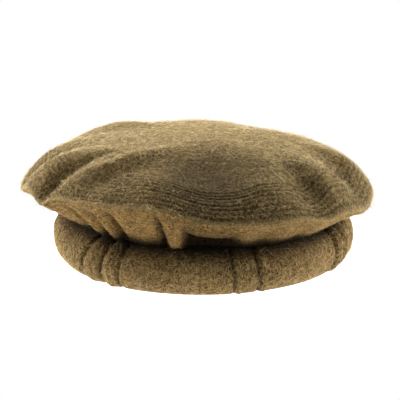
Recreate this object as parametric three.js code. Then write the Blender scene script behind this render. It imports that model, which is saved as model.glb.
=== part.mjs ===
// A pakol, the soft round hat of felted wool worn in the mountains of western and central Asia.
//
// The hat is two pieces of cloth. A round panel makes the top of the crown, slack and a little domed,
// with a doubled margin. A wide tube is sewn to its edge. The tube runs in under the crown as a
// gathered wall and down inside the head opening, and the rest of it is rolled up on itself into the
// thick ring that serves as the brim.
//
// Millimetres and degrees, +Z up. The hat rests on its roll at z = 0, and the origin is the middle of
// its outline there. An azimuth is measured round the head opening from the front, at -Y, through the
// right, at +X.

import * as THREE from "three";

// Rolled brim
const headGirth = 556; // round the inside of the opening
const rollDepth = 32; // of the wound cloth, from the head side to the outside
const rollHeight = 41;
const rollSquareness = 1.9; // of its section: 2 is an ellipse, and a higher number is boxier
const solePress = 1.6; // how much of the roll is pressed flat where it rests

// Crown
const crownRadius = 145; // from the middle of the panel to its seam
const crownShift = { left: 5, back: 2 }; // how far the slack crown lies off the middle of the roll
const rimRise = 21; // of the seam above the roll
const domeRise = 42.5; // of the crown's highest part above its seam

// Cloth
const clothThickness = 2.4;
const marginWidth = 26; // of the doubled and quilted margin of the top panel
const marginThickness = 4; // of its two layers
const seamGap = 0.3; // between pieces that touch

const headRadius = headGirth / (2 * Math.PI);
const rollMiddle = headRadius + clothThickness + seamGap + rollDepth / 2;
const rimHeight = rollHeight + rimRise;
const seamWidth = marginThickness * 1.15; // of the edges that meet at the seam, cut level
const weltIn = 0.7; // shares of seamWidth that the wall's cloth turns in by, and down by, at the seam
const weltDown = 0.6;
const fullTurn = 360;

// How finely the pieces are cut, in sections round the hat
const clothSections = 100;
const rollSpacing = 5; // degrees between the roll's sections where it has no groove

// The seam round the crown. reach is a share of crownRadius, and lift a share of rimRise.
const rimRows = [
  { at: 0, reach: 1.0, lift: 0.04 },
  { at: 15, reach: 1.0, lift: -0.12 },
  { at: 30, reach: 0.995, lift: -0.14 },
  { at: 45, reach: 0.99, lift: -0.35 },
  { at: 60, reach: 0.99, lift: -0.48 },
  { at: 76, reach: 0.995, lift: -0.58 },
  { at: 92, reach: 1.0, lift: -0.36 },
  { at: 120, reach: 0.99, lift: -0.25 },
  { at: 150, reach: 0.985, lift: -0.1 },
  { at: 180, reach: 0.99, lift: 0 },
  { at: 225, reach: 0.99, lift: 0 },
  { at: 255, reach: 1.0, lift: -0.05 },
  { at: 275, reach: 1.005, lift: -0.05 },
  { at: 290, reach: 1.0, lift: 0 },
  { at: 303, reach: 0.99, lift: 0.05 },
  { at: 320, reach: 0.985, lift: 0.38 },
  { at: 334, reach: 0.99, lift: 0.44 },
  { at: 347, reach: 1.0, lift: 0.44 },
];

// The crown's fall from its middle to the seam. slope is the share of it that comes gently over the
// whole panel, and turn is higher where the margin turns down more sharply.
const crownRows = [
  { at: 0, slope: 0.45, turn: 6 },
  { at: 45, slope: 0.5, turn: 7 },
  { at: 85, slope: 0.52, turn: 9 },
  { at: 130, slope: 0.76, turn: 8 },
  { at: 180, slope: 0.55, turn: 7 },
  { at: 225, slope: 0.5, turn: 7 },
  { at: 270, slope: 0.52, turn: 9 },
  { at: 320, slope: 0.42, turn: 7 },
];

// Folds that run out across the crown. height is a share of domeRise, negative in a valley. from and
// full are shares of the way out, where a fold begins and where it is at its height, and atSeam is the
// share of its height that is left at the seam.
const crownFolds = [
  { at: 271, spread: 8, height: -0.05, from: 0.55, full: 0.85, atSeam: 0.2 },
  { at: 286, spread: 9, height: 0.13, from: 0.4, full: 0.85, atSeam: 0.3 },
  { at: 295, spread: 8, height: -0.16, from: 0.5, full: 0.85, atSeam: 0.3 },
  { at: 304, spread: 9, height: 0.12, from: 0.4, full: 0.8, atSeam: 0.2 },
  { at: 42, spread: 10, height: -0.15, from: 0.55, full: 0.86, atSeam: 0.2 },
  { at: 56, spread: 12, height: 0.07, from: 0.5, full: 0.85, atSeam: 0.2 },
  { at: 72, spread: 9, height: -0.08, from: 0.6, full: 0.88, atSeam: 0.3 },
  { at: 85, spread: 8, height: 0.09, from: 0.45, full: 0.85, atSeam: 0.3 },
  { at: 125, spread: 14, height: 0.07, from: 0.5, full: 0.85, atSeam: 0.3 },
  { at: 150, spread: 14, height: -0.08, from: 0.5, full: 0.85, atSeam: 0.3 },
  { at: 205, spread: 14, height: -0.06, from: 0.4, full: 0.8, atSeam: 0.3 },
  { at: 234, spread: 18, height: 0.11, from: 0.25, full: 0.65, atSeam: 0.2 },
];

// Hollows and swellings in the crown. out and size are shares of the way out, and height a share of
// domeRise.
const crownDents = [
  { at: 3, out: 0.6, size: 0.34, height: -0.07 },
  { at: 317, out: 0.88, size: 0.17, height: -0.09 },
  { at: 340, out: 0.85, size: 0.18, height: 0.04 },
  { at: 19, out: 0.9, size: 0.16, height: 0.06 },
];

// Gathers of the wall under the crown. depth is a share of rollHeight, up into the crown.
const wallPleats = [
  { at: 353, spread: 12, depth: 0.14 },
  { at: 342, spread: 5, depth: 0.07 },
  { at: 323, spread: 6, depth: 0.1 },
  { at: 314, spread: 5, depth: 0.06 },
  { at: 305, spread: 5, depth: 0.07 },
  { at: 288, spread: 6, depth: 0.08 },
  { at: 22, spread: 8, depth: 0.05 },
  { at: 62, spread: 6, depth: 0.06 },
  { at: 105, spread: 6, depth: 0.08 },
  { at: 150, spread: 7, depth: 0.08 },
  { at: 196, spread: 6, depth: 0.08 },
  { at: 240, spread: 7, depth: 0.08 },
];

// Grooves across the roll, where the wound cloth gathers. depth is a share of rollDepth, and lean is
// how far a groove slants, in degrees round the hat from the foot of the roll to its top.
const rollGrooves = [
  { at: 11, spread: 2.2, depth: 0.05, lean: 1 },
  { at: 21, spread: 2.4, depth: 0.06, lean: 1 },
  { at: 61, spread: 2.4, depth: 0.08, lean: -6 },
  { at: 69, spread: 2.4, depth: 0.07, lean: -6 },
  { at: 77, spread: 2.4, depth: 0.07, lean: -6 },
  { at: 120, spread: 2.6, depth: 0.06, lean: 3 },
  { at: 129, spread: 2.6, depth: 0.07, lean: 3 },
  { at: 172, spread: 2.4, depth: 0.07, lean: 0 },
  { at: 181, spread: 2.4, depth: 0.07, lean: 0 },
  { at: 232, spread: 2.6, depth: 0.07, lean: -4 },
  { at: 240, spread: 2.6, depth: 0.06, lean: -4 },
  { at: 268, spread: 2.4, depth: 0.06, lean: 5 },
  { at: 276, spread: 2.4, depth: 0.06, lean: 5 },
  { at: 306, spread: 2.4, depth: 0.08, lean: 4 },
  { at: 315, spread: 2.6, depth: 0.09, lean: 4 },
  { at: 325, spread: 2.6, depth: 0.06, lean: 3 },
];
const leanReach = 14; // degrees to each side of a groove that slant with it

// The roll's fullness round the hat: reach is a share of rollDepth, outward, and height a share of
// rollHeight.
const rollRows = [
  { at: 0, reach: 0.03, height: -0.17 },
  { at: 30, reach: -0.05, height: -0.17 },
  { at: 60, reach: -0.07, height: -0.15 },
  { at: 90, reach: 0, height: -0.04 },
  { at: 150, reach: 0.02, height: 0.02 },
  { at: 210, reach: 0, height: 0 },
  { at: 270, reach: 0.01, height: 0.02 },
  { at: 300, reach: 0.03, height: -0.06 },
  { at: 325, reach: 0.08, height: -0.15 },
];

// The wall's free stretch. out is a share of the way from the roll to the seam, and gather the share of
// a pleat's depth there.
const wallRows = [
  { out: 0.22, gather: 1 },
  { out: 0.45, gather: 0.9 },
  { out: 0.7, gather: 0.55 },
];

// Places round the roll's section, in degrees: 0 is outward, 90 the top and 180 the side to the head
const rollAngles = [-105, -75, -52, -28, -5, 18, 40, 62, 85, 110, 145, 180, 218];
const wallAngles = [218, 180, 145, 110, 85]; // where the wall lies against the roll
const crownShares = [1, 0.98, 0.95, 0.91, 0.86, 0.8, 0.72, 0.62, 0.5, 0.36, 0.18, 0]; // of the way out

// 1 at the middle of a feature, falling smoothly to 0 at a distance of 1 from it
function bell(distance) {
  return 0.5 + 0.5 * Math.cos(Math.PI * Math.min(Math.abs(distance), 1));
}

// An azimuth from 0 to 360
function wrapped(azimuth) {
  return THREE.MathUtils.euclideanModulo(azimuth, fullTurn);
}

// The turn to an azimuth from another, -180 to 180
function turnFrom(from, azimuth) {
  return wrapped(azimuth - from + fullTurn / 2) - fullTurn / 2;
}

// The sum over a table's features of one of their columns, each faded out over its spread
function featuresAt(rows, column, azimuth) {
  return rows.reduce((sum, row) => sum + row[column] * bell(turnFrom(row.at, azimuth) / row.spread), 0);
}

// A column of a table at any azimuth, on a smooth curve through its rows that closes on itself
function around(rows, column, azimuth) {
  const row = (i) => rows[THREE.MathUtils.euclideanModulo(i, rows.length)];
  const gapAfter = (i) => wrapped(row(i + 1).at - row(i).at);
  const slope = (i) => (row(i + 1)[column] - row(i - 1)[column]) / (gapAfter(i - 1) + gapAfter(i));
  const i = rows.findLastIndex((r) => r.at <= wrapped(azimuth));
  const span = gapAfter(i);
  const t = wrapped(azimuth - row(i).at) / span;
  const from = row(i)[column] * (1 + 2 * t) + slope(i) * span * t;
  const to = row(i + 1)[column] * (3 - 2 * t) - slope(i + 1) * span * (1 - t);
  return from * (1 - t) ** 2 + to * t ** 2;
}

// Evenly spaced azimuths for the sections of a piece
function evenly(count) {
  return Array.from({ length: count }, (_, i) => (i * fullTurn) / count);
}

// Azimuths a spacing apart, and closer across each narrow feature
function closeAt(features, spacing) {
  const close = features.flatMap((f) => [-1, -0.5, 0, 0.5, 1].map((o) => wrapped(f.at + o * f.spread)));
  const clear = evenly(Math.round(fullTurn / spacing)).filter((azimuth) =>
    close.every((other) => Math.abs(turnFrom(other, azimuth)) > spacing / 3),
  );
  return [...close, ...clear].sort((a, b) => a - b);
}

// A piece turned round the hat: a lathe whose every section is then drawn by sectionAt(azimuth), as
// a list of points { azimuth, radius, height } that always has the same length
function turned(azimuths, sectionAt) {
  const sections = [...azimuths, azimuths[0]].map(sectionAt);
  const profile = sections[0].map((point) => new THREE.Vector2(point.radius, point.height));
  const geometry = new THREE.LatheGeometry(profile, azimuths.length);
  geometry.rotateX(Math.PI / 2);
  const position = geometry.getAttribute("position");
  sections.flat().forEach((point, i) => {
    const angle = THREE.MathUtils.degToRad(point.azimuth);
    position.setXYZ(i, point.radius * Math.sin(angle), -point.radius * Math.cos(angle), point.height);
  });
  geometry.computeVertexNormals();
  return geometry;
}

// The other face of a cloth, a thickness to the left of these points as they run
function otherFace(points, thicknessAt) {
  return points.map((point, i) => {
    const before = points[Math.max(i - 1, 0)];
    const after = points[Math.min(i + 1, points.length - 1)];
    const along = new THREE.Vector2(after.radius - before.radius, after.height - before.height).normalize();
    const thickness = thicknessAt(i);
    if (point.radius === 0) {
      return { ...point, height: point.height - thickness };
    }
    return {
      azimuth: point.azimuth,
      radius: Math.max(point.radius - along.y * thickness, 0),
      height: point.height + along.x * thickness,
    };
  });
}

// The seam at an azimuth
function rimAt(azimuth) {
  const angle = THREE.MathUtils.degToRad(azimuth);
  const shift = -crownShift.left * Math.sin(angle) - crownShift.back * Math.cos(angle);
  const folds = crownFolds.map((f) => ({ ...f, left: f.height * f.atSeam }));
  const lift = rimRise * around(rimRows, "lift", azimuth) + domeRise * featuresAt(folds, "left", azimuth);
  return {
    azimuth,
    radius: crownRadius * around(rimRows, "reach", azimuth) + shift,
    height: rimHeight + lift,
  };
}

// How far the folds and hollows lift the crown at a share of the way out, in shares of domeRise
function crownRelief(azimuth, share) {
  const folds = crownFolds.map((f) => {
    const begun = THREE.MathUtils.smoothstep(share, f.from, f.full);
    const past = Math.max(share - f.full, 0) / (1 - f.full);
    return { ...f, here: f.height * begun * (1 - past ** 2) };
  });
  const dents = crownDents.reduce((sum, dent) => {
    const turn = THREE.MathUtils.degToRad(turnFrom(dent.at, azimuth));
    const away = Math.sqrt(share ** 2 + dent.out ** 2 - 2 * share * dent.out * Math.cos(turn));
    return sum + dent.height * bell(away / dent.size);
  }, 0);
  return featuresAt(folds, "here", azimuth) + dents * (1 - share ** 8);
}

// A point of the crown's outer face, at a share of the way from its middle to the seam
function crownPoint(azimuth, share) {
  const rim = rimAt(azimuth);
  const slope = around(crownRows, "slope", azimuth);
  const turn = around(crownRows, "turn", azimuth);
  const fall = slope * share ** 2 + (1 - slope) * share ** turn;
  const peak = rimHeight + domeRise;
  return {
    azimuth,
    radius: rim.radius * share,
    height: peak + (rim.height - peak) * fall + domeRise * crownRelief(azimuth, share),
  };
}

// The top panel's section: out along its inner face, across the seam and back along its outer face
function crownSection(azimuth) {
  const outer = crownShares.map((share) => crownPoint(azimuth, share));
  const inner = otherFace(outer, (i) => {
    const fromSeam = (1 - crownShares[i]) * crownRadius;
    const single = THREE.MathUtils.smoothstep(fromSeam, marginWidth * 0.7, marginWidth * 1.2);
    return THREE.MathUtils.lerp(marginThickness, clothThickness, single);
  });
  const edge = { ...outer[0], radius: outer[0].radius - seamWidth };
  return [...inner.slice(2).reverse(), edge, ...outer];
}

// A point on the wound roll before it gathers, or clear of it by a gap
function rollPoint(azimuth, angle, gap) {
  const turn = THREE.MathUtils.degToRad(angle);
  const squared = (value) => Math.sign(value) * Math.abs(value) ** (2 / rollSquareness);
  const outward = squared(Math.cos(turn));
  const upward = squared(Math.sin(turn));
  const reach = rollDepth * around(rollRows, "reach", azimuth) * Math.max(outward, 0);
  const tall = rollHeight * (1 + around(rollRows, "height", azimuth)) + solePress;
  return {
    azimuth,
    radius: rollMiddle + (rollDepth / 2 + gap) * outward + reach,
    height: Math.max(tall / 2 - solePress + (tall / 2 + gap) * upward, 0),
  };
}

// The same point with the roll's grooves sunk into it, and slanted with them
function groovedPoint(azimuth, angle) {
  const turn = THREE.MathUtils.degToRad(angle);
  const outside = THREE.MathUtils.smoothstep(Math.cos(turn), -0.3, 0.4);
  const aboveSole = THREE.MathUtils.smoothstep(Math.sin(turn), -1, -0.8);
  const slanting = rollGrooves.map((g) => ({ at: g.at, spread: leanReach, lean: g.lean, part: 1 }));
  const parts = Math.max(featuresAt(slanting, "part", azimuth), 1);
  const lean = featuresAt(slanting, "lean", azimuth) / parts;
  const point = rollPoint(azimuth + (lean * outside * Math.sin(turn)) / 2, angle, 0);
  const sink = rollDepth * featuresAt(rollGrooves, "depth", azimuth) * outside * aboveSole;
  return {
    azimuth: point.azimuth,
    radius: point.radius - sink * Math.cos(turn),
    height: point.height - sink * Math.sin(turn),
  };
}

// The roll's section, closed on itself
function rollSection(azimuth) {
  const points = rollAngles.map((angle) => groovedPoint(azimuth, angle));
  return [...points, points[0]];
}

// The wall's section: up its outer face round the inside of the roll and out to the seam, and back
// along its inner face
function wallSection(azimuth) {
  const rim = rimAt(azimuth);
  const against = wallAngles.map((angle) => rollPoint(azimuth, angle, seamGap));
  const crest = against.at(-1);
  const top = rim.height - seamGap;
  const welt = { azimuth, radius: rim.radius - seamWidth * weltIn, height: top - seamWidth * weltDown };
  const gather = rollHeight * featuresAt(wallPleats, "depth", azimuth);
  const free = wallRows.map((row) => ({
    azimuth,
    radius: THREE.MathUtils.lerp(crest.radius, welt.radius, row.out),
    height: THREE.MathUtils.lerp(crest.height, welt.height, row.out) + gather * row.gather,
  }));
  const outer = [...against, ...free, welt];
  const inner = otherFace(outer, () => clothThickness);
  const edge = [
    { azimuth, radius: rim.radius - seamGap, height: top },
    { azimuth, radius: rim.radius - seamWidth, height: top },
  ];
  const points = [...outer, ...edge, ...inner.reverse()];
  return [...points, points[0]];
}

function felt(colour) {
  return new THREE.MeshStandardMaterial({ color: colour, roughness: 0.95, metalness: 0 });
}

function piece(name, geometry, material) {
  const mesh = new THREE.Mesh(geometry, material);
  mesh.name = name;
  return mesh;
}

const hat = new THREE.Group();
hat.add(piece("crown_top", turned(evenly(clothSections), crownSection), felt(0x7a6542)));
hat.add(piece("crown_wall", turned(evenly(clothSections), wallSection), felt(0x6b5432)));
hat.add(piece("rolled_brim", turned(closeAt(rollGrooves, rollSpacing), rollSection), felt(0x6f5b3a)));

const outline = new THREE.Box3().setFromObject(hat);
const middle = outline.getCenter(new THREE.Vector3());
hat.position.set(-middle.x, -middle.y, -outline.min.z);

export default hat;
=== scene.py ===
# %% [markdown]
# # A pakol on a white table
#
# A pakol is a soft round hat of felted wool. A round panel makes the top of its crown. A wide tube is
# sewn to the panel's edge, runs in under the crown and down inside the head opening, and the rest of it
# is rolled up into the thick ring that serves as the brim.
#
# The CAD model holds the real sizes. It is loaded as a fixed frame, and each of its three plain solids
# is then replaced by a finer piece of cloth in the same place: the crown panel, the gathered wall and
# the roll. Stitches and loose wool fibres come on top.

import math

import bmesh
import bpy
import numpy as np
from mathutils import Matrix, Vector, noise


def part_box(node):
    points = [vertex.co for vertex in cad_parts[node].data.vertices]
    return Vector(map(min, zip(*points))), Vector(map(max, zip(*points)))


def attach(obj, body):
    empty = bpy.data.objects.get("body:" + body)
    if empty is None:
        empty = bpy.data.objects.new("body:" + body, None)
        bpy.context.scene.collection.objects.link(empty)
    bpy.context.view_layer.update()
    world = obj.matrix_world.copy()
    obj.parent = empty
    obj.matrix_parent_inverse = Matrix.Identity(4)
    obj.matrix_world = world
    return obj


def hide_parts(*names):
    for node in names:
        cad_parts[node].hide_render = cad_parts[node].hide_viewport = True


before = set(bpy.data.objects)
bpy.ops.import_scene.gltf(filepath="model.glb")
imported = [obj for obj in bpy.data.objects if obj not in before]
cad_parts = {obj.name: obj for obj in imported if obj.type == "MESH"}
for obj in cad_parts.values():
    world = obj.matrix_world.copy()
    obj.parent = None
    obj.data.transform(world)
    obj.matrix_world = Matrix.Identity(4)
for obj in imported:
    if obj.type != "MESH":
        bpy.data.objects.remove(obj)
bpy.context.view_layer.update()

# %% [markdown]
# ## Measures taken from the frame
#
# The head opening is the hat's own middle, and every piece is drawn in turns round it. Its place could
# be typed in, but reading it from the foot of the CAD wall keeps the cloth on the frame if the CAD
# model is ever changed. The other sizes are those of the CAD model, in metres.

# %% Find the head opening
mm = 0.001


def vertex_vectors(mesh, field):
    """A field of a mesh's vertices, such as co or normal, as rows of x, y and z."""
    flat = np.empty(3 * len(mesh.vertices))
    mesh.vertices.foreach_get(field, flat)
    return flat.reshape(-1, 3)


foot_height = 20 * mm  # below this the CAD wall only lines the head opening
wall_foot = vertex_vectors(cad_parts["crown_wall"].data, "co")
wall_foot = wall_foot[wall_foot[:, 2] < foot_height]
hat_axis = (wall_foot[:, :2].min(0) + wall_foot[:, :2].max(0)) / 2
head_radius = np.hypot(*(wall_foot[:, :2] - hat_axis).T).min()
print("head opening: middle", hat_axis.round(4), "radius", round(head_radius, 4))

# %% Name the other sizes
roll_depth = 32 * mm  # of the wound cloth, from the head side to the outside
roll_height = 41 * mm
roll_squareness = 1.9  # of its section: 2 is an ellipse
sole_press = 1.6 * mm  # how much of the roll is pressed flat where it rests
crown_radius = 145 * mm
crown_left = 5 * mm  # how far the slack crown lies off the middle of the roll
crown_back = 2 * mm
rim_rise = 21 * mm  # of the crown's seam above the roll
dome_rise = 42.5 * mm  # of the crown's highest part above its seam
cloth_thickness = 2.4 * mm
margin_width = 26 * mm  # of the doubled and quilted margin of the top panel
margin_thickness = 4 * mm
seam_gap = 0.3 * mm  # between the roll and the cloth that lies on it

roll_middle = head_radius + cloth_thickness + seam_gap + roll_depth / 2
rim_height = roll_height + rim_rise
crown_peak = rim_height + dome_rise

# %% [markdown]
# ## Folds as short tables
#
# Cloth folds look random, but each one has a place, a width and a height, and a table with a row for
# each fold is easy to read and to change. The first line of a table names its columns. A place is an
# azimuth in degrees round the hat, from the front through its right. Heights are shares of the sizes
# above. A fold's cross-section is a smooth bell, and slow changes round the hat run on a smooth curve
# through their rows.

# %% Helpers that make and read the tables


def table(columns, *rows):
    """A list of rows, each with its values under the names of the columns."""
    names = columns.split()
    return [dict(zip(names, row)) for row in rows]


def bell(distance):
    """1 at the middle of a feature, falling smoothly to 0 at a distance of 1 from it."""
    return 0.5 + 0.5 * np.cos(np.pi * np.minimum(np.abs(distance), 1))


def smooth(value, low, high):
    """0 below low, 1 above high, and a smooth rise between them."""
    t = np.clip((value - low) / (high - low), 0, 1)
    return t * t * (3 - 2 * t)


def turn_from(start, azimuth):
    """The turn to an azimuth from another, from -180 to 180."""
    return (azimuth - start + 180) % 360 - 180


def features_at(rows, column, azimuth):
    """The sum of a column over a table's features, each faded out over its spread."""
    total = np.zeros_like(azimuth)
    for row in rows:
        total += row[column] * bell(turn_from(row["at"], azimuth) / row["spread"])
    return total


def around(rows, column, azimuth):
    """A column at any azimuth, on a smooth closed curve through the table's rows."""
    at = np.array([row["at"] for row in rows], float)
    value = np.array([row[column] for row in rows], float)
    gap = np.diff(np.append(at, at[0] + 360))
    slope = (np.roll(value, -1) - np.roll(value, 1)) / (gap + np.roll(gap, 1))
    turn = azimuth % 360
    i = np.searchsorted(at, turn, side="right") - 1
    j = (i + 1) % len(rows)
    t = (turn - at[i]) / gap[i]
    start = value[i] * (1 + 2 * t) + slope[i] * gap[i] * t
    end = value[j] * (3 - 2 * t) - slope[j] * gap[i] * (1 - t)
    return start * (1 - t) ** 2 + end * t**2


def placed(azimuth, radius, height):
    """Points in the frame from their azimuth, radius and height round the hat's axis."""
    angle = np.radians(azimuth)
    x = hat_axis[0] + radius * np.sin(angle)
    y = hat_axis[1] - radius * np.cos(angle)
    return np.stack([x, y, height + np.zeros_like(x)], axis=-1)


# %% [markdown]
# ## The shape of the crown
#
# The panel is slack, so it has no shape of its own: it falls from its middle to the seam, dips where
# nothing holds it and folds where it has too much cloth. The seam itself rises at the front left,
# where the wall stands up, and sags on the right. It could be draped by a cloth simulation, but then its
# folds would lie where they fall, and here each has to lie in its own place.
#
# The seam's "reach" is a share of the crown's radius and its "lift" a share of the rim's rise. The panel's
# "slope" is the share of its fall that comes gently, and "turn" is higher where the margin turns down
# more sharply.
#
# A fold begins at the share of the way out that "from" gives and is at its height at "full". "at_seam" is
# what is left of it at the seam, and "bend" is how far it would turn on its way in to the middle. In a
# round dent, "out" and "size" are shares of the way out, and "unlit" is how dark its bottom is coloured.

# %% Tables of the seam and the crown
rim_rows = table(
    "at reach lift",
    (0, 1.0, 0.04),
    (15, 1.0, -0.12),
    (30, 0.995, -0.14),
    (45, 0.99, -0.35),
    (60, 0.99, -0.48),
    (76, 0.995, -0.58),
    (92, 1.0, -0.36),
    (120, 0.99, -0.25),
    (150, 0.985, -0.1),
    (180, 0.99, 0),
    (225, 0.99, 0),
    (255, 1.0, -0.05),
    (275, 1.005, -0.05),
    (290, 1.0, 0),
    (303, 0.99, 0.05),
    (320, 0.985, 0.38),
    (334, 0.99, 0.44),
    (347, 1.0, 0.44),
)
crown_rows = table(
    "at slope turn",
    (0, 0.45, 6),
    (45, 0.5, 7),
    (85, 0.52, 9),
    (130, 0.76, 8),
    (180, 0.55, 7),
    (225, 0.5, 7),
    (270, 0.52, 9),
    (320, 0.42, 7),
)
crown_folds = table(
    "at bend spread height from full at_seam",
    (268, 0, 10, 0.04, 0.5, 0.85, 0.2),
    (279, 5, 5, -0.08, 0.55, 0.88, 0.4),
    (291, 26, 10.5, 0.14, 0.45, 0.85, 0.5),
    (301, 22, 5.5, -0.14, 0.55, 0.9, 0.4),
    (310, 50, 9, 0.14, 0.3, 0.8, 0.3),
    (40, 0, 11, -0.15, 0.62, 0.88, 0.2),
    (54, -8, 11, 0.08, 0.5, 0.85, 0.2),
    (68, -4, 9, -0.09, 0.6, 0.88, 0.3),
    (80, 0, 8, 0.1, 0.5, 0.85, 0.3),
    (125, 0, 14, 0.07, 0.5, 0.85, 0.3),
    (150, 8, 14, -0.08, 0.5, 0.85, 0.3),
    (205, -8, 14, -0.06, 0.4, 0.8, 0.3),
    (234, 0, 18, 0.11, 0.25, 0.65, 0.2),
)
crown_dents = table(
    "at out size height unlit",
    (2, 0.72, 0.46, -0.2, 0.5),
    (324, 0.84, 0.2, -0.09, 0),
    (342, 0.86, 0.16, 0.03, 0),
    (21, 0.87, 0.17, 0.07, 0),
)

# %% The seam and the folds as functions
dent_fade = 8  # power of the share at which dents run out towards the seam


def rim_at(azimuth):
    """Radius and height of the seam."""
    angle = np.radians(azimuth)
    shift = -crown_left * np.sin(angle) - crown_back * np.cos(angle)
    left = [{**fold, "left": fold["height"] * fold["at_seam"]} for fold in crown_folds]
    radius = crown_radius * around(rim_rows, "reach", azimuth) + shift
    lift = rim_rise * around(rim_rows, "lift", azimuth) + dome_rise * features_at(left, "left", azimuth)
    return radius, rim_height + lift


def dents_at(column, azimuth, share):
    """The sum of a column over the crown's round dents and bulges, each faded out over its size."""
    total = np.zeros_like(azimuth)
    for dent in crown_dents:
        turn = np.radians(turn_from(dent["at"], azimuth))
        away = np.sqrt(share**2 + dent["out"] ** 2 - 2 * share * dent["out"] * np.cos(turn))
        total += dent[column] * bell(away / dent["size"])
    return total


def crown_relief(azimuth, share):
    """How far folds and hollows lift the crown, in shares of its rise."""
    total = dents_at("height", azimuth, share) * (1 - share**dent_fade)
    for fold in crown_folds:
        begun = smooth(share, fold["from"], fold["full"])
        past = np.maximum(share - fold["full"], 0) / (1 - fold["full"])
        bent = fold["at"] + fold["bend"] * (1 - share)
        across = bell(turn_from(bent, azimuth) / fold["spread"])
        total += fold["height"] * begun * (1 - past**2) * across
    return total


# %% The crown's outer face as a function


def crown_surface(azimuth, share):
    """Points of the crown's outer face at shares of the way from its middle to the seam."""
    radius, height = rim_at(azimuth)
    slope = around(crown_rows, "slope", azimuth)
    turn = around(crown_rows, "turn", azimuth)
    fall = slope * share**2 + (1 - slope) * share**turn
    z = crown_peak + (height - crown_peak) * fall + dome_rise * crown_relief(azimuth, share)
    return placed(azimuth, radius * share, z)


def crown_directions(azimuth, share):
    """Unit vectors out along the crown and away from its outer face."""
    step, side_step = 0.002, 0.1  # a share of the way out, and degrees round the hat
    inner = np.clip(share - step, 0.01, 1)
    here = inner + step
    out = crown_surface(azimuth, here) - crown_surface(azimuth, inner)
    side = crown_surface(azimuth + side_step, here) - crown_surface(azimuth - side_step, here)
    out /= np.linalg.norm(out, axis=-1, keepdims=True)
    away = np.cross(out, side)
    away /= np.linalg.norm(away, axis=-1, keepdims=True)
    return out, away


# %% [markdown]
# ## The shape of the roll
#
# The wound cloth could be drawn layer by layer, but nothing shows of it except its outermost turn. So
# the roll is a ring with an almost elliptical section, a little slack at the front, where the wound
# cloth gathers in groups of narrow grooves that slant across it. A groove's "lean" is how far it slants,
# in degrees round the hat from the roll's foot to its top. A rib is a groove of negative depth.

# %% Tables of the roll
roll_rows = table(
    "at reach height",
    (0, 0.03, -0.17),
    (30, -0.05, -0.17),
    (60, -0.07, -0.15),
    (90, 0, -0.04),
    (150, 0.02, 0.02),
    (210, 0, 0),
    (270, 0.01, 0.02),
    (300, 0.03, -0.06),
    (325, 0.08, -0.15),
)
roll_grooves = table(
    "at spread depth lean",
    (10.5, 1.3, 0.07, -1.4),
    (19.8, 1.4, 0.085, -2),
    (59.5, 1.6, 0.13, 0),
    (66.5, 1.4, 0.1, 3),
    (74, 1.5, 0.09, 1),
    (82, 1.5, 0.06, 1),
    (120, 1.7, 0.08, 3),
    (129, 1.7, 0.09, 3),
    (163, 1.6, 0.06, 4),
    (170, 1.6, 0.09, 2),
    (187, 1.6, 0.07, -3),
    (232, 1.7, 0.09, -4),
    (240, 1.7, 0.08, -4),
    (268, 1.6, 0.08, 5),
    (276, 1.6, 0.08, 5),
    (311.2, 1.6, 0.09, 6),
    (320.6, 1.7, 0.12, 3),
    (328.5, 1.5, 0.08, 2),
)
roll_ribs = table(
    "at spread depth",
    (12.5, 1.3, -0.04),
    (21.9, 1.3, -0.04),
    (63, 2.6, -0.05),
    (70.3, 2.8, -0.04),
    (78, 3, -0.03),
    (124, 3.0, -0.03),
    (167, 3.0, -0.03),
    (236, 3.0, -0.03),
    (272, 2.8, -0.03),
    (315.5, 3.0, -0.04),
    (324.5, 2.6, -0.05),
)
lean_reach = 14  # degrees to each side of a groove that slant with it

# %% The roll's face as a function


def squared(value):
    """A cosine or sine, changed so that it draws a squarer or a more pointed ring than an ellipse."""
    return np.sign(value) * np.abs(value) ** (2 / roll_squareness)


def roll_surface(azimuth, angle, gap):
    """Radius and height on the plain roll, or clear of it by a gap. 0 faces out and 90 up."""
    turn = np.radians(angle)
    outward = squared(np.cos(turn))
    upward = squared(np.sin(turn))
    reach = roll_depth * around(roll_rows, "reach", azimuth) * np.maximum(outward, 0)
    tall = roll_height * (1 + around(roll_rows, "height", azimuth)) + sole_press
    radius = roll_middle + (roll_depth / 2 + gap) * outward + reach
    height = np.maximum(tall / 2 - sole_press + (tall / 2 + gap) * upward, 0)
    return radius, height


def outer_side(turn):
    """1 on the roll's outer side, fading to 0 towards the head side."""
    return smooth(np.cos(turn), -0.5, 0.4)


def grooved_surface(azimuth, angle):
    """Points on the roll with its grooves and ribs, slanted across it."""
    turn = np.radians(angle)
    outside = outer_side(turn)
    above_sole = smooth(np.sin(turn), -1, -0.8)
    slanting = [{**row, "spread": lean_reach, "part": 1} for row in roll_grooves]
    parts = np.maximum(features_at(slanting, "part", azimuth), 1)
    lean = features_at(slanting, "lean", azimuth) / parts
    leaned = azimuth + lean * outside * np.sin(turn) / 2
    radius, height = roll_surface(leaned, angle, 0)
    depth = features_at(roll_grooves, "depth", azimuth) + features_at(roll_ribs, "depth", azimuth)
    sink = roll_depth * depth * outside * above_sole
    return placed(leaned, radius - sink * np.cos(turn), height - sink * np.sin(turn))


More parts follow.
